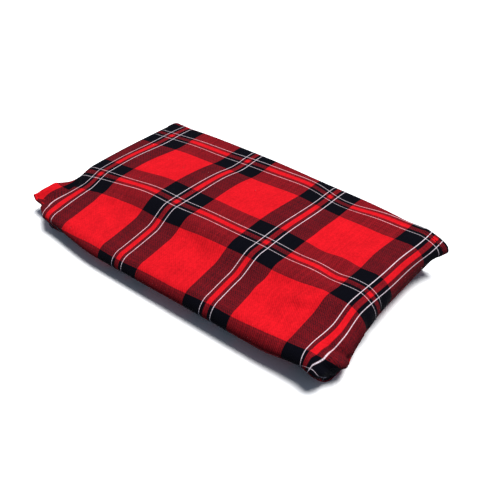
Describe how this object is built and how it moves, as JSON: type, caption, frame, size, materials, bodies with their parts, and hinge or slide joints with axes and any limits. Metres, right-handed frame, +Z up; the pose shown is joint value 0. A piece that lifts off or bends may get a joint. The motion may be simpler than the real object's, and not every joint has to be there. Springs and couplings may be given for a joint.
{
  "type": "folded maasai shuka blanket",
  "caption": "Red and black checked blanket with fine white lines, folded into a flat rectangular pack whose top layer wraps over the front and both ends.",
  "frame": {"origin": "middle of the underside, on the surface that the pack lies on", "axes": "+X along the pack's length, with the ear at -X; +Y from the wrapped front to the folds at the back; +Z up through the layers"},
  "size_m": [0.3533, 0.2002, 0.0493],
  "materials": {
    "cloth": "brushed woven blanket cloth, red and black check with paired white lines"
  },
  "bodies": {
    "root": {"shuka_cloth": "cloth"}
  },
  "joints": []
}
